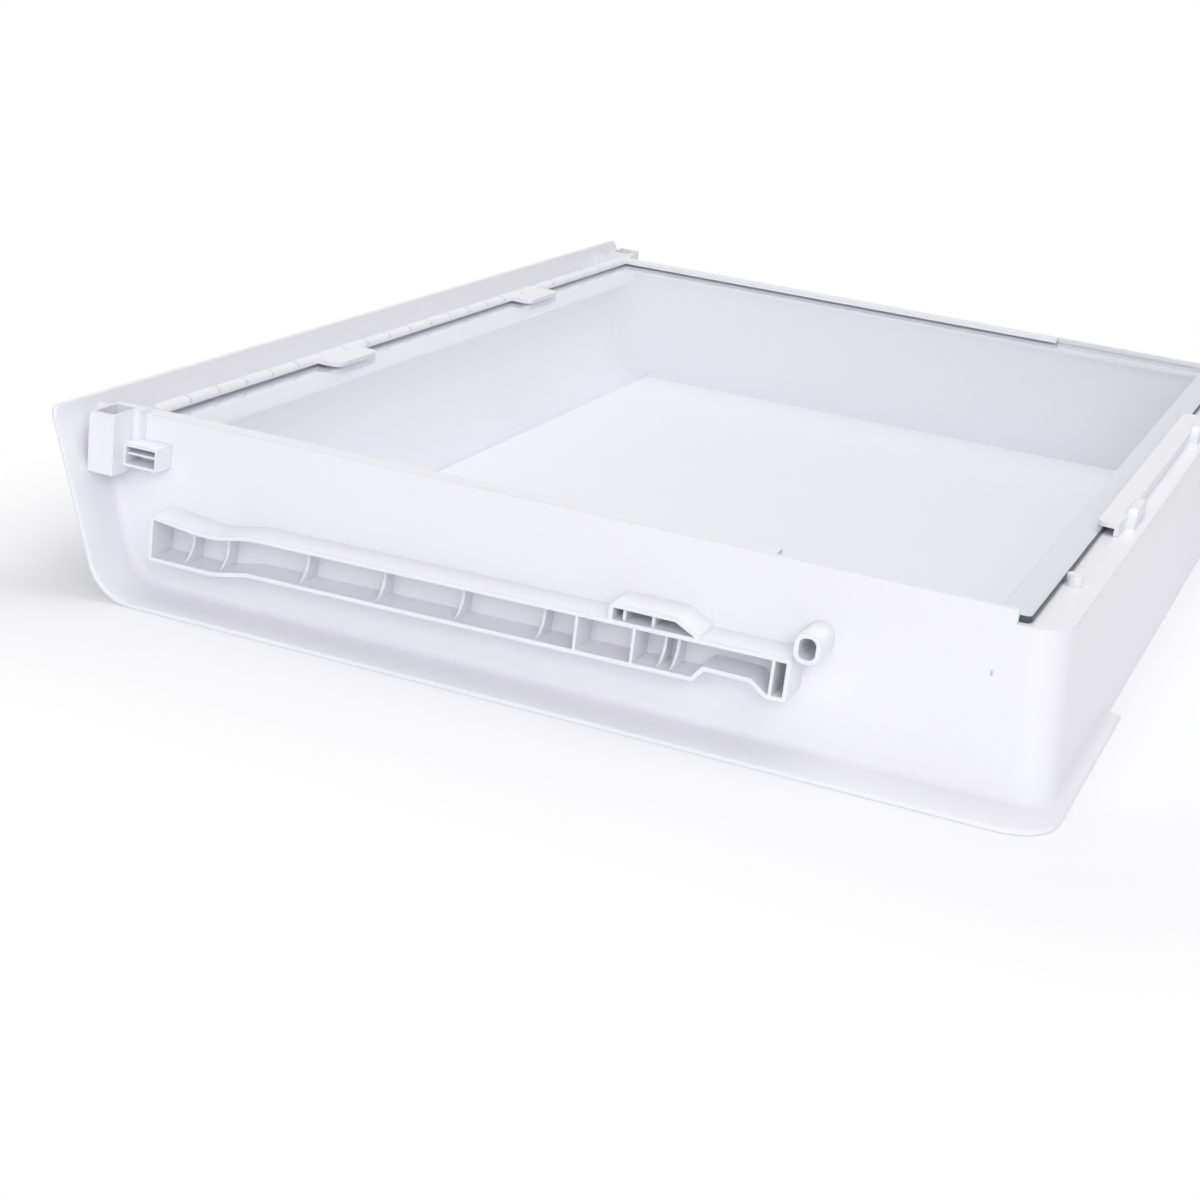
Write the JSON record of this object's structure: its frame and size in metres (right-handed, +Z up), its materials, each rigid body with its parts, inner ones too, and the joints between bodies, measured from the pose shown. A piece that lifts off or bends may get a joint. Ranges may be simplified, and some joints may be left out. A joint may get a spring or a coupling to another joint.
{
  "type": "fridge drawer",
  "caption": "Wide shallow moulded fridge drawer lying upside down, with a leaning front panel and finger groove, an outward rim, ribbed side runners and a clear glass base.",
  "frame": {"origin": "centre of the drawer's plan at the open rim, which it lies on upside down", "axes": "+Z up from the rim to the glass base, -Y towards the front panel, X across the width"},
  "size_m": [0.7582, 0.5216, 0.0952],
  "materials": {
    "white_plastic": "gloss",
    "clear_glass": "polished"
  },
  "bodies": {
    "root": {"drawer_body": "white_plastic", "glass_base": "clear_glass"}
  },
  "joints": []
}
